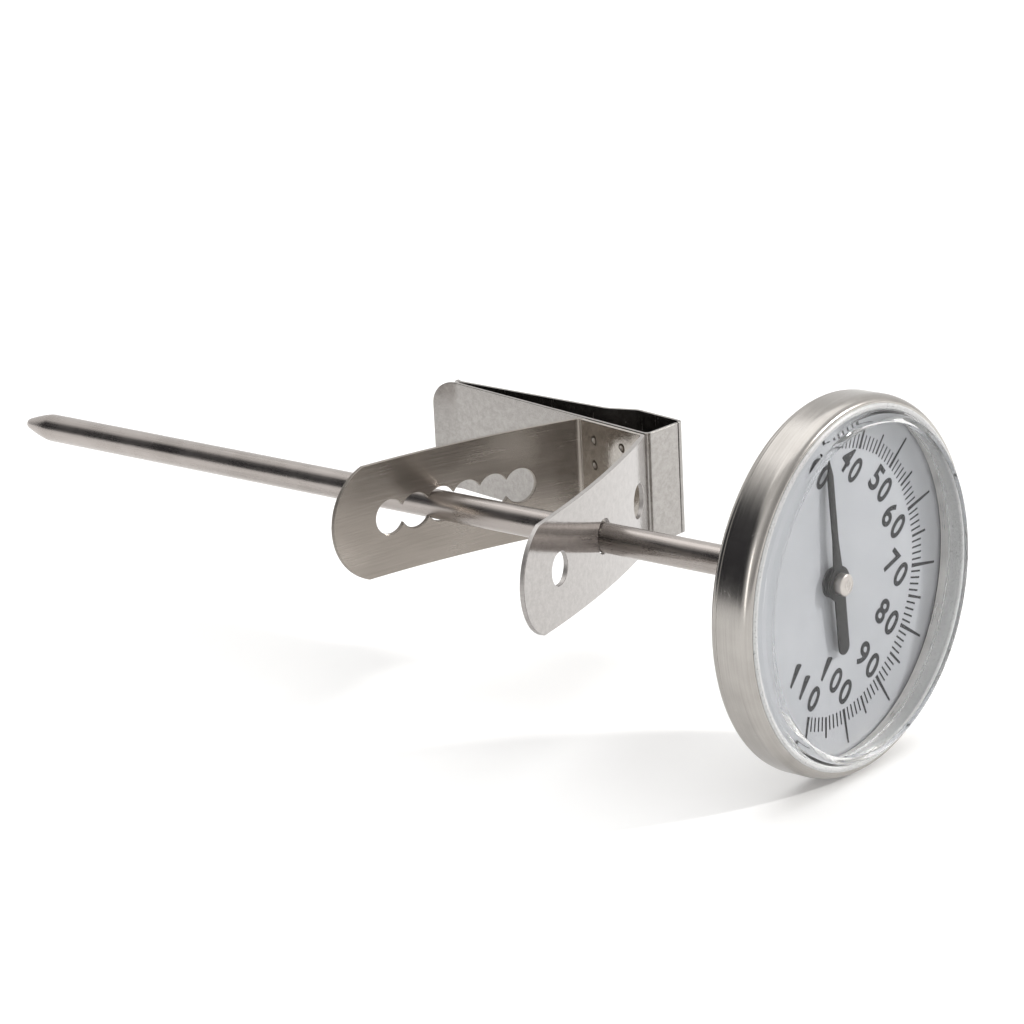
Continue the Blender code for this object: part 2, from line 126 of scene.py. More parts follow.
# Pointer
POINTER_BACK = -5.0
POINTER_SHEET = 0.25
POINTER_TIP = 15.6
POINTER_TAIL = 9.1
POINTER_HUB = 2.15
POINTER_HOLE = 0.7
CAP_RADIUS = 1.35
CAP_FRONT = -3.7

# Stem
STEM_RADIUS = 1.9
STEM_TOP = -6.35
STEM_BORE = 1.55
STEM_SHOULDER = -138.3
STEM_TIP = -143.3
SWAGE_LENGTH = 4.45
SWAGE_RADIUS = 0.75
SWAGE_CURVE = 1.35

# Clip, in its own frame: x along the plate towards the dial, y away from the stem
STRIP_WIDTH = 15.0
BRACKET_SHEET = 0.6
PLATE_SHEET = 0.45
GRIP_POINT = 25.0
FOLD_RADIUS = 0.9
EDGE_WIDTH = 0.07
EDGE_NORMAL = 0.6
BASE_Y = -1.5
TAPER_START = 3.3
SPARE_LENGTH = 3.0
CLIP_BEND = 0.7
WELD_SIDES = 20
WELD_NODES = sorted(name for name in frame["nodes"] if name.startswith("spot_weld"))

# Each leg of the bracket: the joint at its fold; the place of the corner past that joint; where the fold
# ends, in degrees, and its flat steps; the heading after it and the radius of the slow bow; the heading of
# the straight line from the corner that places are measured along; where the side edges stop; the far end;
# and how far the lower edge rises
REAR_LEG = {"joint": "rear_leg_squeeze", "corner": -0.7, "fold_end": 165.5, "fold_steps": 8,
            "heading": -104.5, "bow": 128.0, "chord": -97.0, "straight_to": 33.6, "end": 38.8,
            "narrowing": 0.0}
FRONT_LEG = {"joint": "front_leg_squeeze", "corner": 0.19, "fold_end": 34.2, "fold_steps": 6,
             "heading": -55.8, "bow": -209.0, "chord": -61.0, "straight_to": 39.5, "end": 44.4,
             "narrowing": 1.1}

# Metal finishes: the grain's depth in metres, how much paler and rougher a scratch is, and how rough a
# sheared edge is
STRIP_GRAIN = 0.000004
TURNED_GRAIN = 0.000003
SCRATCH_GAIN = 1.18
SCRATCH_ROUGHNESS = 0.12
SHEARED_ROUGHNESS = 0.45

# Studio: the floor's depth below the thermometer in millimetres, and its half width in metres
FLOOR_GAP = 0.4
FLOOR_REACH = 3.0
PALE_ROOM = (0.95, 0.945, 0.935, 1.0)
DIAL_SIDE_ROOM = (0.50, 0.495, 0.49, 1.0)
DARK_ROOM = (0.045, 0.045, 0.05, 1.0)

# Camera: from the middle of the head's front plane, with the lens that fits the object's framing
CAMERA_OFFSET = Vector((228.35, -333.6, 136.0))
CAMERA_AZIMUTH = 40.31
CAMERA_ELEVATION = 17.16
CAMERA_ROLL = -2.9
CAMERA_LENS = 127.5
SENSOR_WIDTH = 36.0


# Node materials

class Nodes:
    """A small helper that adds nodes to one material and links them by socket name."""

    def __init__(self, name):
        self.material = bpy.data.materials.new(name)
        self.material.use_nodes = True
        self.tree = self.material.node_tree
        self.shader = self.tree.nodes["Principled BSDF"]
        self.output = self.tree.nodes["Material Output"]

    def add(self, kind, **settings):
        node = self.tree.nodes.new(kind)
        for key, value in settings.items():
            setattr(node, key, value)
        return node

    def link(self, source, target):
        self.tree.links.new(source, target)

    def coordinates(self, kind="Object"):
        return self.add("ShaderNodeTexCoord").outputs[kind]

    def mapped(self, vector, scale=(1, 1, 1), rotation=(0, 0, 0), location=(0, 0, 0)):
        node = self.add("ShaderNodeMapping")
        node.inputs["Scale"].default_value = scale
        node.inputs["Rotation"].default_value = rotation
        node.inputs["Location"].default_value = location
        self.link(vector, node.inputs["Vector"])
        return node.outputs["Vector"]

    def noise(self, vector, scale, detail=3.0, roughness=0.6):
        node = self.add("ShaderNodeTexNoise")
        node.inputs["Scale"].default_value = scale
        node.inputs["Detail"].default_value = detail
        node.inputs["Roughness"].default_value = roughness
        self.link(vector, node.inputs["Vector"])
        return node.outputs["Fac"]

    def remap(self, value, low, high, to_low, to_high, smooth=False):
        node = self.add("ShaderNodeMapRange")
        if smooth:
            node.interpolation_type = "SMOOTHSTEP"
        node.inputs["From Min"].default_value = low
        node.inputs["From Max"].default_value = high
        node.inputs["To Min"].default_value = to_low
        node.inputs["To Max"].default_value = to_high
        self.link(value, node.inputs["Value"])
        return node.outputs["Result"]

    def math(self, operation, first, second=None):
        node = self.add("ShaderNodeMath", operation=operation)
        for socket, value in zip(node.inputs, (first, second)):
            if isinstance(value, (int, float)):
                socket.default_value = value
            elif value is not None:
                self.link(value, socket)
        return node.outputs["Value"]

    def mix(self, factor, first, second):
        """A mix of two colours, each a plain colour or a socket."""
        node = self.add("ShaderNodeMix", data_type="RGBA")
        self.link(factor, node.inputs["Factor"])
        for name, colour in (("A", first), ("B", second)):
            socket = [s for s in node.inputs if s.name == name and s.type == "RGBA"][0]
            if isinstance(colour, tuple):
                socket.default_value = (*colour, 1.0)
            else:
                self.link(colour, socket)
        return [s for s in node.outputs if s.type == "RGBA"][0]

    def bump(self, height, strength, distance, normal=None):
        node = self.add("ShaderNodeBump")
        node.inputs["Strength"].default_value = strength
        node.inputs["Distance"].default_value = distance
        self.link(height, node.inputs["Height"])
        if normal is not None:
            self.link(normal, node.inputs["Normal"])
        return node.outputs["Normal"]

    def scratches(self, vector, scale, width, turn):
        """Thin broken lines: the cell edges of a stretched Voronoi, kept only in patches."""
        stretched = self.mapped(vector, (scale, scale * 0.06, scale), (0.0, 0.0, turn))
        cells = self.add("ShaderNodeTexVoronoi", feature="DISTANCE_TO_EDGE")
        cells.inputs["Scale"].default_value = 1.0
        self.link(stretched, cells.inputs["Vector"])
        line = self.remap(cells.outputs["Distance"], 0.0, width, 1.0, 0.0)
        patches = self.remap(self.noise(vector, scale * 0.7, 2.0), 0.52, 0.62, 0.0, 1.0)
        return self.math("MULTIPLY", line, patches)

    def set(self, **values):
        for key, value in values.items():
            self.shader.inputs[key.replace("_", " ")].default_value = value

    def feed(self, name, socket):
        self.link(socket, self.shader.inputs[name])


def finish_metal(nodes, grain, smudge, marks, light, dark, roughness, grain_depth, sheared=None):
    """Colour, roughness and relief of a worn metal from its grain, smudges and scratches."""
    tone = nodes.math("ADD", nodes.math("MULTIPLY", grain, 0.45), nodes.math("MULTIPLY", smudge, 0.55))
    colour = nodes.mix(nodes.remap(tone, 0.40, 0.60, 0.0, 1.0), dark, light)
    pale = tuple(min(1.0, value * SCRATCH_GAIN) for value in light)
    nodes.feed("Base Color", nodes.mix(nodes.math("MULTIPLY", marks, 0.5), colour, pale))
    rough = nodes.remap(tone, 0.3, 0.7, roughness[0], roughness[1])
    if sheared is not None:
        rough = nodes.math("MAXIMUM", rough, nodes.math("MULTIPLY", sheared, SHEARED_ROUGHNESS))
    nodes.feed("Roughness", nodes.math("ADD", rough, nodes.math("MULTIPLY", marks, SCRATCH_ROUGHNESS)))
    relief = nodes.bump(grain, 0.35, grain_depth)
    nodes.feed("Normal", nodes.bump(marks, 0.3, grain_depth * 1.5, relief))
    nodes.set(Metallic=1.0)
    return nodes.material


def strip_metal(name, light, dark, roughness, grain, marks, brushed=False):
    """Rolled strip, brushed along its length or else pickled, with rougher sheared edges.

    Its UV map is in metres, along and across the strip.
    """
    nodes = Nodes(name)
    flat = nodes.coordinates("UV")
    if brushed:
        tangent = nodes.add("ShaderNodeTangent", direction_type="UV_MAP", uv_map="strip")
        nodes.link(tangent.outputs["Tangent"], nodes.shader.inputs["Tangent"])
        nodes.set(Anisotropic=0.8, Anisotropic_Rotation=0.25)
        lines = nodes.noise(nodes.mapped(flat, (110.0, 5200.0, 1.0)), 1.0, 3.0, 0.6)
        smudge = nodes.noise(nodes.mapped(flat, (70.0, 150.0, 1.0)), 1.0, 2.0, 0.5)
    else:
        lines = nodes.noise(flat, 3200.0, 4.0, 0.65)
        smudge = nodes.noise(flat, 1100.0, 4.0, 0.6)
    fine = nodes.scratches(flat, 900.0, 0.035, 0.5)
    coarse = nodes.scratches(flat, 420.0, 0.02, -0.9)
    worn = nodes.math("MULTIPLY", nodes.math("MAXIMUM", fine, coarse), marks)
    sheared = nodes.add("ShaderNodeAttribute", attribute_name="sheared").outputs["Fac"]
    return finish_metal(nodes, lines, smudge, worn, light, dark, roughness, STRIP_GRAIN * grain, sheared)


def turned_metal(name, light, dark, roughness, around=True, grain=1.0):
    """Metal polished round the stem's axis, or drawn along it."""
    nodes = Nodes(name)
    local = nodes.mapped(nodes.coordinates(), location=(0.0, -HEAD_FRONT.y, 0.0))
    parts = nodes.add("ShaderNodeSeparateXYZ")
    nodes.link(local, parts.inputs["Vector"])
    along, across, up = parts.outputs["X"], parts.outputs["Y"], parts.outputs["Z"]
    if around:
        squares = nodes.math("ADD", nodes.math("MULTIPLY", across, across), nodes.math("MULTIPLY", up, up))
        radius = nodes.math("SQRT", squares)
        turn = nodes.math("ADD", across, up)
        scaled = ((along, 5200.0), (radius, 5200.0), (turn, 70.0))
    else:
        scaled = ((along, 90.0), (across, 7000.0), (up, 7000.0))
    lay = nodes.add("ShaderNodeCombineXYZ")
    for socket, (value, scale) in zip(lay.inputs, scaled):
        nodes.link(nodes.math("MULTIPLY", value, scale), socket)
    lines = nodes.noise(lay.outputs["Vector"], 1.0, 4.0, 0.6)
    smudge = nodes.noise(local, 190.0, 3.0, 0.55)
    worn = nodes.math("MULTIPLY", nodes.scratches(local, 500.0, 0.025, 0.7), 0.3)
    return finish_metal(nodes, lines, smudge, worn, light, dark, roughness, TURNED_GRAIN * grain)


def enamel(name):
    """The dial's pale coating, with a slight mottle and specks of dust."""
    nodes = Nodes(name)
    local = nodes.coordinates()
    mottle = nodes.noise(local, 260.0, 4.0, 0.6)
    colour = nodes.mix(nodes.remap(mottle, 0.3, 0.7, 0.0, 1.0), (0.325, 0.333, 0.355), (0.36, 0.368, 0.39))
    specks = nodes.remap(nodes.noise(local, 2600.0, 1.0, 0.4), 0.74, 0.80, 0.0, 0.35)
    nodes.feed("Base Color", nodes.mix(specks, colour, (0.35, 0.35, 0.36)))
    nodes.feed("Roughness", nodes.remap(mottle, 0.3, 0.7, 0.34, 0.46))
    nodes.feed("Normal", nodes.bump(nodes.noise(local, 3200.0, 2.0), 0.12, 0.00001))
    return nodes.material


def ink(name, colour):
    """Screen-printed ink or lacquer, slightly uneven in cover and gloss."""
    nodes = Nodes(name)
    local = nodes.coordinates()
    cover = nodes.noise(local, 1500.0, 4.0, 0.65)
    pale = tuple(value * 1.35 + 0.012 for value in colour)
    nodes.feed("Base Color", nodes.mix(nodes.remap(cover, 0.35, 0.7, 0.0, 1.0), colour, pale))
    nodes.feed("Roughness", nodes.remap(cover, 0.3, 0.7, 0.30, 0.50))
    nodes.feed("Normal", nodes.bump(cover, 0.3, 0.00002))
    nodes.set(Specular_IOR_Level=0.12)
    return nodes.material


def crystal(name, bending, coat=0.0):
    """The clear moulded lens. Lamps shine through it, and its face carries faint hairlines."""
    nodes = Nodes(name)
    local = nodes.coordinates()
    haze = nodes.noise(local, 180.0, 3.0)
    hairs = nodes.scratches(local, 260.0, 0.012, 0.4)
    nodes.set(Base_Color=(0.985, 0.99, 0.99, 1.0), Transmission_Weight=1.0, IOR=bending)
    if coat:
        nodes.set(Coat_Weight=coat, Coat_Roughness=0.02, Coat_IOR=1.45)
    smooth = nodes.remap(haze, 0.3, 0.7, 0.0, 0.03)
    nodes.feed("Roughness", nodes.math("ADD", smooth, nodes.math("MULTIPLY", hairs, 0.08)))
    path = nodes.add("ShaderNodeLightPath")
    clear = nodes.add("ShaderNodeBsdfTransparent")
    mixed = nodes.add("ShaderNodeMixShader")
    nodes.link(path.outputs["Is Shadow Ray"], mixed.inputs["Fac"])
    nodes.link(nodes.shader.outputs["BSDF"], mixed.inputs[1])
    nodes.link(clear.outputs["BSDF"], mixed.inputs[2])
    nodes.link(mixed.outputs["Shader"], nodes.output.inputs["Surface"])
    return nodes.material


def sealant(name):
    """The lens's bedding ring: pale and grainy, with dark pits."""
    nodes = Nodes(name)
    local = nodes.coordinates()
    grain = nodes.noise(local, 4200.0, 4.0, 0.7)
    colour = nodes.mix(nodes.remap(grain, 0.35, 0.65, 0.0, 1.0), (0.42, 0.42, 0.42), (0.56, 0.56, 0.56))
    pits = nodes.remap(nodes.noise(local, 6000.0, 2.0, 0.5), 0.62, 0.68, 0.0, 0.8)
    nodes.feed("Base Color", nodes.mix(pits, colour, (0.09, 0.09, 0.095)))
    nodes.feed("Roughness", nodes.remap(grain, 0.3, 0.7, 0.3, 0.55))
    nodes.feed("Normal", nodes.bump(grain, 0.25, 0.00001))
    return nodes.material


def moulded(name, colour):
    """Moulded nylon with a fine matt texture."""
    nodes = Nodes(name)
    local = nodes.coordinates()
    grain = nodes.noise(local, 2000.0, 3.0)
    pale = tuple(value * 1.8 for value in colour)
    nodes.feed("Base Color", nodes.mix(nodes.remap(grain, 0.35, 0.65, 0.0, 1.0), colour, pale))
    nodes.feed("Roughness", nodes.remap(grain, 0.3, 0.7, 0.45, 0.6))
    nodes.feed("Normal", nodes.bump(grain, 0.3, 0.00001))
    return nodes.material


def make_finishes():
    steel = ((0.43, 0.409, 0.386), (0.36, 0.341, 0.320))
    return {
        "case": turned_metal("case steel", *steel, (0.18, 0.28)),
        "stem": turned_metal("stem steel", (0.44, 0.403, 0.381), (0.36, 0.328, 0.307), (0.20, 0.36),
                             around=False, grain=2.5),
        "turned": turned_metal("turned steel", *steel, (0.22, 0.36)),
        "bright": turned_metal("bright aluminium", (0.84, 0.82, 0.78), (0.72, 0.70, 0.67), (0.24, 0.38)),
        "brass": turned_metal("turned brass", (0.75, 0.58, 0.28), (0.58, 0.42, 0.18), (0.25, 0.4)),
        "bimetal": turned_metal("bimetal", (0.62, 0.52, 0.38), (0.45, 0.38, 0.29), (0.25, 0.4)),
        "cap": turned_metal("cap steel", (0.52, 0.48, 0.45), (0.40, 0.37, 0.345), (0.22, 0.36)),
        "weld": turned_metal("weld steel", (0.60, 0.57, 0.53), (0.36, 0.33, 0.30), (0.25, 0.45)),
        "bracket": strip_metal("bracket strip", (0.50, 0.47, 0.435), (0.36, 0.335, 0.305), (0.08, 0.18),
                               grain=3.0, marks=0.5),
        # The rear leg is brushed like real strip, but its darker, browner colour than the rest of the same bracket
        # strip is painted shade: it stands for the shaded case back reflected in the leg.
        "shade-painted rear leg": strip_metal("shade-painted rear leg strip", (0.36, 0.327, 0.294), (0.27, 0.243, 0.215), (0.20, 0.30),
                                grain=2.2, marks=0.08, brushed=True),
        "front leg": strip_metal("front leg strip", (0.445, 0.425, 0.412), (0.37, 0.352, 0.341),
                                 (0.06, 0.13), grain=1.5, marks=0.4),
        "plate": strip_metal("jug clip strip", (0.40, 0.383, 0.367), (0.315, 0.30, 0.286), (0.16, 0.26),
                             grain=4.5, marks=0.25),
        "leaf": strip_metal("jug leaf strip", (0.37, 0.355, 0.34), (0.29, 0.278, 0.266), (0.16, 0.28),
                            grain=5.0, marks=0.5),
        "oxide": strip_metal("weld oxide", (0.12, 0.10, 0.08), (0.05, 0.042, 0.036), (0.3, 0.5),
                             grain=3.0, marks=0.0),
        "dial": enamel("dial enamel"),
        "ink": ink("dial ink", (0.012, 0.012, 0.014)),
        "lacquer": ink("pointer lacquer", (0.010, 0.0095, 0.0095)),
        "crystal": crystal("lens crystal", 1.25),
        "pane": crystal("lens pane", 1.03, coat=0.3),
        "sealant": sealant("lens bedding"),
        "nylon": moulded("black nylon", (0.02, 0.02, 0.022)),
    }


# Meshes

def add_piece(name, mesh, finish, body, replaced=()):
    obj = bpy.data.objects.new(name, mesh)
    mesh.materials.clear()
    mesh.materials.append(finish)
    bpy.context.scene.collection.objects.link(obj)
    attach(obj, body)
    if replaced:
        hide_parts(*replaced)
    return obj


def shade(mesh, angle=32.0):
    for face in mesh.polygons:
        face.use_smooth = True
    mesh.set_sharp_from_angle(angle=math.radians(angle))


def arc(centre, radius, start, end, steps):
    """Points on an arc from one angle to another, in degrees, both ends included."""
    points = []
    for step in range(steps + 1):
        angle = math.radians(start + (end - start) * step / steps)
        points.append((centre[0] + radius * math.cos(angle), centre[1] + radius * math.sin(angle)))
    return points


def turned(name, profile, segments=192, closed=True):
    """Turn (radius, place along the stem) points about the stem's axis into a finished mesh."""
    shape = bmesh.new()
    rings = []
    for radius, place in profile:
        if radius < 1e-6:
            rings.append([shape.verts.new(HEAD_FRONT + Vector((place * MM, 0.0, 0.0)))])
            continue
        loop = []
        for step in range(segments):
            angle = 2 * math.pi * step / segments
            offset = Vector((place, radius * math.cos(angle), radius * math.sin(angle)))
            loop.append(shape.verts.new(HEAD_FRONT + offset * MM))
        rings.append(loop)
    pairs = list(zip(rings, rings[1:]))
    if closed:
        pairs.append((rings[-1], rings[0]))
    for first, second in pairs:
        for step in range(segments):
            following = (step + 1) % segments
            corners = [first[step % len(first)], first[following % len(first)],
                       second[following % len(second)], second[step % len(second)]]
            unique = list(dict.fromkeys(corners))
            if len(unique) > 2:
                shape.faces.new(unique)
    bmesh.ops.recalc_face_normals(shape, faces=shape.faces)
    mesh = bpy.data.meshes.new(name)
    shape.to_mesh(mesh)
    shape.free()
    shade(mesh)
    return mesh


# Sheet metal: a flat pattern is cut, then bent along a path and given its thickness

def flat_pattern(outline, holes, cuts, thickness):
    """The flat blank with its holes and softened edges, cut across at every place where it will bend."""
    curve = bpy.data.curves.new("blank", "CURVE")
    curve.dimensions = "2D"
    curve.fill_mode = "BOTH"
    curve.extrude = thickness / 2 - EDGE_WIDTH
    curve.bevel_depth = EDGE_WIDTH
    curve.bevel_resolution = 1
    curve.offset = -EDGE_WIDTH
    for points in [outline, *holes]:
        spline = curve.splines.new("POLY")
        spline.points.add(len(points) - 1)
        for point, (along, across) in zip(spline.points, points):
            point.co = (along, across, 0.0, 1.0)
        spline.use_cyclic_u = True
    blank = bpy.data.objects.new("blank", curve)
    bpy.context.scene.collection.objects.link(blank)
    mesh = bpy.data.meshes.new_from_object(blank.evaluated_get(bpy.context.evaluated_depsgraph_get()))
    bpy.data.objects.remove(blank, do_unlink=True)
    bpy.data.curves.remove(curve)
    shape = bmesh.new()
    shape.from_mesh(mesh)
    bpy.data.meshes.remove(mesh)
    for layer in list(shape.loops.layers.uv):
        shape.loops.layers.uv.remove(layer)
    bmesh.ops.remove_doubles(shape, verts=shape.verts, dist=0.001)
    for cut in cuts:
        everything = shape.verts[:] + shape.edges[:] + shape.faces[:]
        bmesh.ops.bisect_plane(shape, geom=everything, dist=0.001, plane_co=(cut, 0.0, 0.0),
                               plane_no=(1.0, 0.0, 0.0))
    return shape


def mitres(path):
    """For each point of a path, the offset of the sheet's left side for one unit of thickness."""
    result = []
    last = len(path) - 1
    for index in range(last + 1):
        before = path[max(index - 1, 0)]
        here = path[index]
        after = path[min(index + 1, last)]
        second = math.atan2(after[1] - here[1], after[0] - here[0])
        first = math.atan2(here[1] - before[1], here[0] - before[0])
        if index == 0:
            first = second
        if index == last:
            second = first
        bend = math.remainder(second - first, 2 * math.pi)
        along = first + bend / 2
        reach = 1 / math.cos(bend / 2)
        result.append((-math.sin(along) * reach, math.cos(along) * reach))
    return result


def follow(path, places, sides, along, height):
    """Where a point of the flat sheet goes, from its place along the path and its height in the sheet."""
    last = len(places) - 2
    index = 0
    while index < last and places[index + 1] < along:
        index += 1
    share = (along - places[index]) / (places[index + 1] - places[index])
    spots = []
    for end in (index, index + 1):
        spots.append((path[end][0] + sides[end][0] * height, path[end][1] + sides[end][1] * height))
    (x0, y0), (x1, y1) = spots
    return x0 + (x1 - x0) * share, y0 + (y1 - y0) * share


def lengths(path):
    total = [0.0]
    for (x0, y0), (x1, y1) in zip(path, path[1:]):
        total.append(total[-1] + math.hypot(x1 - x0, y1 - y0))
    return total


def projected(path, corner, heading):
    """Places along a straight line that leaves a corner, for each point of a path."""
    direction = (math.cos(math.radians(heading)), math.sin(math.radians(heading)))
    return [(x - corner[0]) * direction[0] + (y - corner[1]) * direction[1] for x, y in path]


def clip_point(x, y, z):
    """A point of the clip's own frame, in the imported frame."""
    turn = Matrix.Rotation(CLIP_TURN, 4, "Z")
    return turn @ (Vector((x + GRIP_POINT, y - PLATE_SHEET, z)) * MM)


def bent_sheet(name, outline, holes, path, places, thickness):
    """Cut a flat sheet from an outline with holes, mark its sheared edges, and bend it along a path."""
    shape = flat_pattern(outline, holes, places[1:-1], thickness)
    layer = shape.loops.layers.uv.new("strip")
    sheared = shape.faces.layers.float.new("sheared")
    shape.normal_update()
    for face in shape.faces:
        face[sheared] = 1.0 if abs(face.normal.z) < EDGE_NORMAL else 0.0
        for loop in face.loops:
            loop[layer].uv = (loop.vert.co.x * MM, loop.vert.co.y * MM)
    sides = mitres(path)
    for vert in shape.verts:
        x, y = follow(path, places, sides, vert.co.x, vert.co.z)
        vert.co = clip_point(x, y, vert.co.y)
    bmesh.ops.recalc_face_normals(shape, faces=shape.faces)
    mesh = bpy.data.meshes.new(name)
    shape.to_mesh(mesh)
    shape.free()
    shade(mesh, 20.0)
    return mesh


def bowed_path(start, heading, length, bow_radius, steps):
    """Points along a sheet that leaves in one direction and curves gently, towards the left."""
    points = [start]
    step_length = length / steps
    for step in range(steps):
        angle = math.radians(heading) + (step + 0.5) * step_length / bow_radius
        last = points[-1]
        points.append((last[0] + step_length * math.cos(angle), last[1] + step_length * math.sin(angle)))
    return points


def round_slot(centre, straight, radius, rise=0.0):
    """A round hole drawn out along the strip by a short straight, and set off from its middle line."""
    right = arc((centre + straight / 2, rise), radius, -90, 90, 20)
    return right + arc((centre - straight / 2, rise), radius, 90, 270, 20)


def hole_chain(first, pitch, count, radius):
    """The outline of a row of round holes that run into each other."""
    neck = math.degrees(math.acos(pitch / 2 / radius))
    top = []
    for index in range(count):
        start = 180 if index == 0 else 180 - neck
        end = 0 if index == count - 1 else neck
        points = arc((first + index * pitch, 0.0), radius, start, end, 18)
        top += points if index == 0 else points[1:]
    bottom = [(x, -y) for x, y in reversed(top[1:-1])]
    return top + bottom


def rounded_end(start, straight_to, end, narrowing):
    """A strip's outline whose far end is one arc through both corners and the end point.

    The lower edge rises evenly by the narrowing, from just past the fold to the arc.
    """
    half = STRIP_WIDTH / 2
    rise = end - straight_to
    chord = half - narrowing / 2
    radius = (chord ** 2 + rise ** 2) / (2 * rise)
    spread = math.degrees(math.asin(chord / radius))
    tip = arc((end - radius, narrowing / 2), radius, -spread, spread, 40)
    return [(start, -half), (TAPER_START, -half)] + tip + [(start, half)]


def rounded_corners(near, far, radius):
    """A strip's outline with two rounded corners at its far end, beyond its near end."""
    half = STRIP_WIDTH / 2
    upper = arc((far - radius, half - radius), radius, 90, 0, 12)
    lower = [(x, -y) for x, y in reversed(upper)]
    return [(near, -half), (near, half)] + upper + lower


def in_clip(spot):
    """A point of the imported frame, in the clip's own frame and in millimetres."""
    local = Matrix.Rotation(-CLIP_TURN, 4, "Z") @ Vector(spot)
    return local.x / MM - GRIP_POINT, local.y / MM + PLATE_SHEET, local.z / MM


def joint_in_clip(name):
    """A fold's centre, in the clip's own frame."""
    return in_clip(JOINTS[name]["pos_m"])[:2]


def build_leg(name, leg, holes, finish):
    """One leg of the bracket, from the start of its fold to its round end."""
    cx, cy = joint_in_clip(leg["joint"])
    fold = arc((cx, cy), FOLD_RADIUS, 90, leg["fold_end"], leg["fold_steps"])
    path = fold + bowed_path(fold[-1], leg["heading"], leg["end"] + SPARE_LENGTH, leg["bow"], 16)[1:]
    places = projected(path, (cx + leg["corner"], cy - BASE_Y), leg["chord"])
    outline = rounded_end(places[0], leg["straight_to"], leg["end"], leg["narrowing"])
    mesh = bent_sheet(name + "_sheet", outline, holes, path, places, BRACKET_SHEET)
    add_piece(name + "_sheet", mesh, finish, name, (name,))


def build_clip(finishes):
    rear_x, fold_y = joint_in_clip("rear_leg_squeeze")
    front_x, _ = joint_in_clip("front_leg_squeeze")
    base_y = fold_y + FOLD_RADIUS
    path = [(rear_x, base_y), ((rear_x + front_x) / 2, base_y), (front_x, base_y)]
    places = lengths(path)
    half = STRIP_WIDTH / 2
    outline = [(0.0, -half), (places[-1], -half), (places[-1], half), (0.0, half)]
    base = bent_sheet("bracket_base_sheet", outline, [], path, places, BRACKET_SHEET)
    add_piece("bracket_base_sheet", base, finishes["bracket"], "clip", ("bracket_base",))
    build_welds(finishes, base_y - BRACKET_SHEET / 2)

    build_leg("rear_leg", REAR_LEG, [hole_chain(9.75, 4.0, 6, 2.3)], finishes["shade-painted rear leg"])
    slots = [round_slot(5.1, 0.5, 2.2), round_slot(19.9, 0.5, 2.2), round_slot(34.5, 0.5, 2.05, 0.45)]
    build_leg("front_leg", FRONT_LEG, slots, finishes["front leg"])
    build_jug_plate(finishes["plate"])
    build_leaf(finishes["leaf"])


def weld_rings(name, face, profile, closed):
    """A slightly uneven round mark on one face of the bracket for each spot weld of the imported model."""
    shape = bmesh.new()
    for node in WELD_NODES:
        low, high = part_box(node)
        x, _, z = in_clip((low + high) / 2)
        rings = []
        for radius, height in profile:
            loop = []
            for step in range(WELD_SIDES):
                angle = 2 * math.pi * step / WELD_SIDES
                wobble = 1 + 0.12 * math.sin(2 * angle + x) + 0.07 * math.sin(3 * angle + z)
                spot = clip_point(x + 0.85 * radius * wobble * math.cos(angle), face - height,
                                  z + radius * wobble * math.sin(angle))
                loop.append(shape.verts.new(spot))
            rings.append(loop)
        for first, second in zip(rings, rings[1:]):
            for step in range(WELD_SIDES):
                following = (step + 1) % WELD_SIDES
                shape.faces.new((first[step], first[following], second[following], second[step]))
        if closed:
            shape.faces.new(rings[0])
    bmesh.ops.recalc_face_normals(shape, faces=shape.faces)
    mesh = bpy.data.meshes.new(name)
    shape.to_mesh(mesh)
    shape.free()
    shade(mesh, 60.0)
    return mesh


def build_welds(finishes, face):
    """Each weld is a shallow crater with a burnt rim."""
    crater = [(0.12, 0.015), (0.26, 0.03), (0.36, 0.08)]
    mesh = weld_rings("weld_craters", face, crater, True)
    add_piece("weld_craters", mesh, finishes["weld"], "clip", WELD_NODES)
    rim = [(0.36, 0.08), (0.44, 0.10), (0.54, 0.06), (0.64, 0.005)]
    mesh = weld_rings("weld_rims", face, rim, False)
    add_piece("weld_rims", mesh, finishes["oxide"], "clip")


def build_jug_plate(finish):
    """The gripping plate: a kicked tab, the flat, and the end plate that carries the leaf."""
    middle = PLATE_SHEET / 2
    slope = 20.0
    kick = arc((-37.9, middle - 3.0), 3.0, 90 + slope, 90, 5)
    tab_end = -42.0
    drop = (kick[0][0] - tab_end) * math.tan(math.radians(slope))
    path = [(tab_end, kick[0][1] - drop), *kick, (-20.0, middle),
            *arc((-0.65, middle + CLIP_BEND), CLIP_BEND, -90, 8, 10), (-0.7, 6.12)]
    places = lengths(path)
    outline = [(places[-1] - x, y) for x, y in rounded_corners(0.0, places[-1], 3.2)]
    mesh = bent_sheet("jug_plate_sheet", outline, [], path, places, PLATE_SHEET)
    add_piece("jug_plate_sheet", mesh, finish, "clip", ("jug_plate",))


def build_leaf(finish):
    """The sprung leaf: its corner on the end plate, a step down, and a flicked lip at the mouth."""
    corner = arc(joint_in_clip("leaf_flex"), CLIP_BEND, -6, 90, 9)
    path = [*corner, (-8.9, 7.1), (-9.4, 6.98), (-12.6, 5.2), (-13.2, 4.95), (-26.0, 2.99), (-38.3, 1.08),
            (-38.9, 1.12), (-40.7, 1.82)]
    places = lengths(path)
    outline = rounded_corners(0.0, places[-1], 1.5)
    mesh = bent_sheet("jug_leaf_sheet", outline, [], path, places, PLATE_SHEET)
    add_piece("jug_leaf_sheet", mesh, finish, "leaf", ("jug_spring_leaf",))


# Head

def dial_height(radius):
    return DIAL_CENTRE + DIAL_DISH * (radius / DISH_RADIUS) ** 2


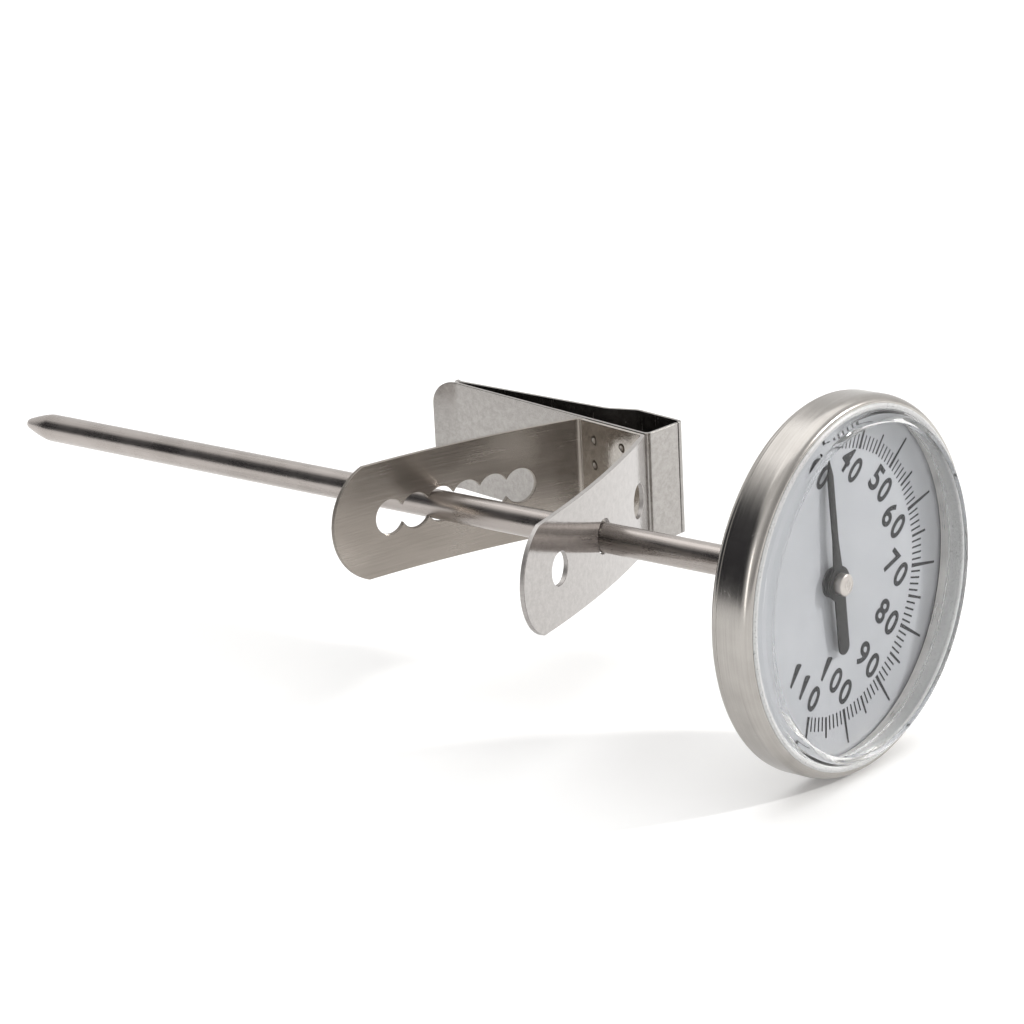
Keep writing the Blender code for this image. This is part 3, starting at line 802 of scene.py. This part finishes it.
def build_case(finish):
    """The rolled bezel ring, and the turned pan behind it with its boss for the stem."""
    stretch = BEZEL_DROP / BEZEL_ROUND
    springing = BEZEL_CREST - BEZEL_DROP
    centre = (CASE_RADIUS - BEZEL_ROUND, 0.0)
    outside = [(radius, springing + rise * stretch) for radius, rise in arc(centre, BEZEL_ROUND, 96, 0, 14)]
    inside = [(radius, springing + rise * stretch)
              for radius, rise in arc(centre, BEZEL_ROUND - SHEET, 0, 90, 8)]
    bezel = [(21.98, -2.0), *outside, (CASE_RADIUS, BEZEL_SEAM + 0.08), (CASE_RADIUS - 0.08, BEZEL_SEAM),
             (CASE_RADIUS - SHEET, BEZEL_SEAM), *inside]
    mesh = turned("bezel_ring_fine", bezel)
    add_piece("bezel_ring_fine", mesh, finish, "head", ("bezel_ring",))

    sleeve = CASE_RADIUS - SHEET - CLEARANCE
    floor = CASE_BACK + SHEET
    hole = STEM_RADIUS + CLEARANCE
    back = [
        (sleeve, SLEEVE_FRONT), (sleeve, BEZEL_SEAM - 0.04), (CASE_RADIUS - 0.12, BEZEL_SEAM - 0.04),
        (CASE_RADIUS - 0.06, BEZEL_SEAM - 0.1),
        *arc((CASE_RADIUS - 0.96, CASE_BACK + 0.9), 0.9, 0, -90, 10),
        *arc((BOSS_RADIUS + 0.5, CASE_BACK - 0.4), 0.4, 90, 150, 4),
        *arc((BOSS_RADIUS - 0.6, BOSS_BACK + 0.5), 0.5, 0, -90, 5),
        (hole + 0.1, BOSS_BACK), (hole, BOSS_BACK + 0.1), (hole, BOSS_BACK + SHEET),
        (BOSS_RADIUS - 1.0, BOSS_BACK + SHEET), (BOSS_RADIUS - 0.5, floor), (sleeve - 0.9, floor),
        (sleeve - SHEET, floor + 0.5), (sleeve - SHEET, SLEEVE_FRONT),
    ]
    add_piece("case_back_fine", turned("case_back_fine", back), finish, "head", ("case_back",))


def build_lens(finishes):
    """The lens as a thin clear disc and a thicker rounded rim, and the pale ring it is bedded in."""
    edge = LENS_FLAT - LENS_SEAM
    disc = [(0.0, LENS_FACE), (edge, LENS_FACE), (edge, LENS_BACK), (0.0, LENS_BACK)]
    mesh = turned("lens_disc", disc, closed=False)
    add_piece("lens_disc", mesh, finishes["pane"], "head", ("lens",))
    rim = [(LENS_FLAT, LENS_BACK), (LENS_FLAT, LENS_FACE), (20.25, LENS_FACE),
           *arc((20.25, LENS_FACE - 0.6), 0.6, 90, 30, 6), (21.1, -0.75), (21.16, -0.9), (21.16, -2.9),
           (20.5, -2.9), (20.3, -1.3)]
    add_piece("lens_rim", turned("lens_rim", rim), finishes["crystal"], "head")
    bed = [(21.2, -1.35), (21.35, -1.18), (21.7, -1.15), (21.95, -1.3), (22.15, -2.1), (22.2, -3.2),
           (21.2, -3.2)]
    mesh = turned("lens_bedding", bed)
    add_piece("lens_bedding", mesh, finishes["sealant"], "head", ("lens_gasket",))


def build_dial(finish):
    """The dished dial plate, with a hole in the middle for the pointer's shaft."""
    step = (DIAL_RADIUS - DIAL_HOLE) / DIAL_STEPS
    radii = [DIAL_RADIUS - step * index for index in range(DIAL_STEPS + 1)]
    dial = [(radius, dial_height(radius) - DIAL_SHEET) for radius in radii]
    dial += [(radius, dial_height(radius)) for radius in reversed(radii)]
    mesh = turned("dial_plate_fine", dial)
    add_piece("dial_plate_fine", mesh, finish, "head", ("dial_plate",))


def mark_angle(reading):
    return POINTER_ANGLE - DEGREES_PER_MARK * (reading - POINTER_READING)


def on_dial(y, z):
    """A point just above the dished dial, given across it and up it."""
    return HEAD_FRONT + Vector((dial_height(math.hypot(y, z)) + PRINT_LIFT, y, z)) * MM


def build_ticks(finish):
    """One mark for each degree, a longer one at each five and the longest at each ten."""
    shape = bmesh.new()
    for reading in range(LOWEST_MARK, HIGHEST_MARK + 1):
        inner, outer, near, far = DEGREE_MARK
        if reading % 5 == 0:
            inner, outer, near, far = FIVE_MARK
        if reading % 10 == 0:
            inner, outer, near, far = TEN_MARK
        angle = math.radians(mark_angle(reading))
        pairs = []
        for step in range(MARK_STEPS + 1):
            radius = inner + (outer - inner) * step / MARK_STEPS
            half = (near + (far - near) * step / MARK_STEPS) / 2
            pair = []
            for side in (-half, half):
                y = radius * math.cos(angle) - side * math.sin(angle)
                z = radius * math.sin(angle) + side * math.cos(angle)
                pair.append(shape.verts.new(on_dial(y, z)))
            pairs.append(pair)
        for first, second in zip(pairs, pairs[1:]):
            shape.faces.new((first[0], second[0], second[1], first[1]))
    mesh = bpy.data.meshes.new("dial_ticks")
    shape.to_mesh(mesh)
    shape.free()
    add_piece("dial_ticks", mesh, finish, "head")


def one_mesh():
    """A flat figure one: an upright stroke with a short flag."""
    half = DIGIT_HEIGHT / 2
    outline = [(-0.2, -half), (0.2, -half), (0.2, half), (-0.12, half), (-0.72, half - 0.45),
               (-0.72, half - 0.92), (-0.2, half - 0.58)]
    shape = bmesh.new()
    shape.faces.new([shape.verts.new((x, y, 0.0)) for x, y in outline])
    bmesh.ops.triangulate(shape, faces=shape.faces)
    mesh = bpy.data.meshes.new("one")
    shape.to_mesh(mesh)
    shape.free()
    return mesh


def digit_mesh(character):
    """A flat digit, centred, of the dial's height and width, from the built-in typeface."""
    if character == "1":
        return one_mesh()
    curve = bpy.data.curves.new("digit", "FONT")
    curve.body = character
    curve.size = TYPE_SIZE
    curve.offset = STROKE_SWELL
    curve.resolution_u = 6
    obj = bpy.data.objects.new("digit", curve)
    bpy.context.scene.collection.objects.link(obj)
    mesh = bpy.data.meshes.new_from_object(obj.evaluated_get(bpy.context.evaluated_depsgraph_get()))
    bpy.data.objects.remove(obj, do_unlink=True)
    bpy.data.curves.remove(curve)
    xs = [vert.co.x for vert in mesh.vertices]
    ys = [vert.co.y for vert in mesh.vertices]
    for vert in mesh.vertices:
        vert.co.x = (vert.co.x - (max(xs) + min(xs)) / 2) * DIGIT_WIDTH / (max(xs) - min(xs))
        vert.co.y = (vert.co.y - (max(ys) + min(ys)) / 2) * DIGIT_HEIGHT / (max(ys) - min(ys))
    return mesh


def build_numerals(finish):
    """The number at each ten degrees, all set in one direction across the dial."""
    shape = bmesh.new()
    turn = math.radians(LABEL_TURN)
    for reading, (radius, shift) in LABEL_SPOTS.items():
        angle = math.radians(mark_angle(reading) + shift)
        text = str(reading)
        for index, character in enumerate(text):
            step = (index - (len(text) - 1) / 2) * DIGIT_PITCH
            mesh = digit_mesh(character)
            before = len(shape.verts)
            shape.from_mesh(mesh)
            bpy.data.meshes.remove(mesh)
            shape.verts.ensure_lookup_table()
            for vert in shape.verts[before:]:
                x, y = vert.co.x + step, vert.co.y
                across = radius * math.cos(angle) + x * math.cos(turn) - y * math.sin(turn)
                up = radius * math.sin(angle) + x * math.sin(turn) + y * math.cos(turn)
                vert.co = on_dial(across, up)
    mesh = bpy.data.meshes.new("dial_numerals")
    shape.to_mesh(mesh)
    shape.free()
    add_piece("dial_numerals", mesh, finish, "head")


def pointer_outline():
    """Hub, pointed arm and round counterweight tail, with the tip towards +Y of the flat pattern."""
    arm = 0.55
    arm_from, arm_to = 5.5, 13.6
    root = 0.85
    tail = 1.05
    side = [(arm, arm_to), (arm, arm_from), (root, math.sqrt(POINTER_HUB ** 2 - root ** 2))]
    start = math.degrees(math.atan2(side[-1][1], root))
    end = -math.degrees(math.acos(tail / POINTER_HUB))
    side += arc((0.0, 0.0), POINTER_HUB, start, end, 20)[1:]
    side += arc((0.0, tail - POINTER_TAIL), tail, 0, -84, 12)
    mirrored = [(-x, y) for x, y in reversed(side)]
    return [(0.0, POINTER_TIP)] + side + [(0.0, -POINTER_TAIL)] + mirrored


def build_pointer(finishes):
    """The stamped pointer with softened edges, and its cap with a dimple in the middle."""
    hole = arc((0.0, 0.0), POINTER_HOLE, 0, 350, 35)
    shape = flat_pattern(pointer_outline(), [hole], [], POINTER_SHEET)
    turn = math.radians(POINTER_ANGLE - 90)
    for vert in shape.verts:
        x, y, height = vert.co
        place = Vector((POINTER_BACK + POINTER_SHEET / 2 + height, x * math.cos(turn) - y * math.sin(turn),
                        x * math.sin(turn) + y * math.cos(turn)))
        vert.co = HEAD_FRONT + place * MM
    bmesh.ops.recalc_face_normals(shape, faces=shape.faces)
    mesh = bpy.data.meshes.new("pointer_fine")
    shape.to_mesh(mesh)
    shape.free()
    shade(mesh, 50.0)
    add_piece("pointer_fine", mesh, finishes["lacquer"], "needle", ("pointer",))

    back = POINTER_BACK + POINTER_SHEET + 0.01
    cap = [(0.0, CAP_FRONT - 0.14), (0.28, CAP_FRONT - 0.12), (0.42, CAP_FRONT - 0.02), (0.5, CAP_FRONT),
           *arc((CAP_RADIUS - 0.15, CAP_FRONT - 0.15), 0.15, 90, 0, 5), (CAP_RADIUS, back),
           (POINTER_HOLE, back), (POINTER_HOLE, CAP_FRONT - 0.3), (0.0, CAP_FRONT - 0.3)]
    mesh = turned("pointer_cap_fine", cap, 64, closed=False)
    add_piece("pointer_cap_fine", mesh, finishes["cap"], "needle", ("pointer_cap",))


# Stem

def build_stem(finish):
    """The drawn tube with its swaged tip, which curves in softly from the shoulder."""
    steps = 8
    swage = []
    for step in range(steps + 1):
        share = step / steps
        radius = STEM_RADIUS - (STEM_RADIUS - SWAGE_RADIUS) * share ** SWAGE_CURVE
        swage.append((radius, STEM_SHOULDER - SWAGE_LENGTH * share))
    stem = [(STEM_BORE, STEM_TOP), (STEM_RADIUS - 0.08, STEM_TOP), (STEM_RADIUS, STEM_TOP - 0.08), *swage,
            (0.6, STEM_TIP + 0.27), (0.36, STEM_TIP + 0.08), (0.0, STEM_TIP), (0.0, STEM_TIP + 2.5),
            (STEM_BORE, STEM_SHOULDER + 0.3)]
    mesh = turned("stem_and_tip", stem, 96)
    add_piece("stem_and_tip", mesh, finish, "stem", ("stem_tube", "stem_tip"))


def dress_nodes(finishes):
    """Give every CAD node a finish. Those that no finer piece replaces keep it in view."""
    chosen = {
        "dial_spacer_ring": "bright", "coil_collar": "brass", "coil_anchor": "brass",
        "bimetal_coil": "bimetal", "lower_guide": "nylon", "upper_bearing": "nylon",
    }
    for name, obj in frame["nodes"].items():
        obj.data.materials.clear()
        obj.data.materials.append(finishes[chosen.get(name, "turned")])


# Studio

def add_lamp(name, location, target, size, power, colour=(1.0, 1.0, 1.0)):
    light = bpy.data.lights.new(name, "AREA")
    light.shape = "RECTANGLE"
    light.size = size[0]
    light.size_y = size[1]
    light.energy = power
    light.color = colour
    lamp = bpy.data.objects.new(name, light)
    lamp.location = location
    lamp.rotation_euler = (Vector(target) - Vector(location)).to_track_quat("-Z", "Y").to_euler()
    bpy.context.scene.collection.objects.link(lamp)


def build_studio():
    """A pale floor just under the thermometer, three soft lamps and the room around them."""
    floor_level = cad_box[0].z - FLOOR_GAP * MM
    mesh = bpy.data.meshes.new("floor")
    corners = [(-FLOOR_REACH, -FLOOR_REACH, floor_level), (FLOOR_REACH, -FLOOR_REACH, floor_level),
               (FLOOR_REACH, FLOOR_REACH, floor_level), (-FLOOR_REACH, FLOOR_REACH, floor_level)]
    mesh.from_pydata(corners, [], [(0, 1, 2, 3)])
    nodes = Nodes("pale floor")
    paper = nodes.noise(nodes.coordinates(), 60.0, 3.0)
    nodes.feed("Base Color", nodes.mix(paper, (0.93, 0.93, 0.93), (0.95, 0.95, 0.95)))
    nodes.set(Roughness=0.9, Emission_Color=(1.0, 1.0, 1.0, 1.0), Emission_Strength=0.12)
    mesh.materials.append(nodes.material)
    floor = bpy.data.objects.new("floor", mesh)
    bpy.context.scene.collection.objects.link(floor)

    build_world()
    middle = Vector((0.0, HEAD_FRONT.y, 0.0))
    add_lamp("overhead softbox", (-0.15, 0.25, 1.1), middle, (1.3, 1.1), 5.0)
    add_lamp("front panel", (0.30, -0.80, 0.05), middle, (0.10, 0.8), 1.1, (1.0, 0.985, 0.96))
    add_lamp("dial lamp", (0.70, 0.58, 0.38), middle, (0.06, 0.06), 5.0, (1.0, 0.99, 0.97))


def build_world():
    """A pale room, greyer on the dial's side and dark low on its front left side, behind the lamps."""
    world = bpy.data.worlds.new("studio")
    bpy.context.scene.world = world
    world.use_nodes = True
    tree = world.node_tree

    def add(kind, **settings):
        node = tree.nodes.new(kind)
        for key, value in settings.items():
            setattr(node, key, value)
        return node

    def ramp(value, low, high, to_low, to_high):
        node = add("ShaderNodeMapRange", interpolation_type="SMOOTHSTEP")
        for key, number in (("From Min", low), ("From Max", high), ("To Min", to_low), ("To Max", to_high)):
            node.inputs[key].default_value = number
        tree.links.new(value, node.inputs["Value"])
        return node.outputs["Result"]

    def times(first, second):
        node = add("ShaderNodeMath", operation="MULTIPLY")
        tree.links.new(first, node.inputs[0])
        tree.links.new(second, node.inputs[1])
        return node.outputs["Value"]

    def blend(factor, first, second):
        node = add("ShaderNodeMix", data_type="RGBA")
        tree.links.new(factor, node.inputs[0])
        ends = [socket for socket in node.inputs if socket.type == "RGBA"]
        for socket, colour in zip(ends, (first, second)):
            if isinstance(colour, tuple):
                socket.default_value = colour
            else:
                tree.links.new(colour, socket)
        return [socket for socket in node.outputs if socket.type == "RGBA"][0]

    direction = add("ShaderNodeSeparateXYZ")
    tree.links.new(add("ShaderNodeTexCoord").outputs["Generated"], direction.inputs["Vector"])
    front = ramp(direction.outputs["Y"], -0.32, -0.08, 1.0, 0.0)
    low = ramp(direction.outputs["Z"], 0.68, 0.86, 1.0, 0.0)
    left = ramp(direction.outputs["X"], -0.25, 0.20, 1.0, 0.0)
    pale = blend(ramp(direction.outputs["X"], 0.35, 0.9, 0.0, 1.0), PALE_ROOM, DIAL_SIDE_ROOM)
    colour = blend(times(times(front, low), left), pale, DARK_ROOM)
    tree.links.new(colour, tree.nodes["Background"].inputs["Color"])


def build_camera():
    """The camera at the photograph's angle, turned by its azimuth, elevation and roll."""
    azimuth = math.radians(CAMERA_AZIMUTH)
    elevation = math.radians(CAMERA_ELEVATION)
    forward = Vector((-math.sin(azimuth) * math.cos(elevation), math.cos(azimuth) * math.cos(elevation),
                      -math.sin(elevation)))
    level = forward.cross(Vector((0.0, 0.0, 1.0))).normalized()
    right = Matrix.Rotation(math.radians(-CAMERA_ROLL), 3, forward) @ level
    up = right.cross(forward)
    data = bpy.data.cameras.new("camera")
    data.sensor_width = SENSOR_WIDTH
    data.lens = CAMERA_LENS
    data.clip_start = 0.01
    data.clip_end = 20.0
    camera = bpy.data.objects.new("camera", data)
    facing = Matrix((right, up, -forward)).transposed().to_4x4()
    camera.matrix_world = Matrix.Translation(HEAD_FRONT + CAMERA_OFFSET * MM) @ facing
    bpy.context.scene.collection.objects.link(camera)
    bpy.context.scene.camera = camera


def main():
    bpy.context.scene.view_settings.view_transform = "Standard"
    finishes = make_finishes()
    dress_nodes(finishes)
    build_case(finishes["case"])
    build_lens(finishes)
    build_dial(finishes["dial"])
    build_ticks(finishes["ink"])
    build_numerals(finishes["ink"])
    build_pointer(finishes)
    build_stem(finishes["stem"])
    build_clip(finishes)
    build_studio()
    build_camera()


main()
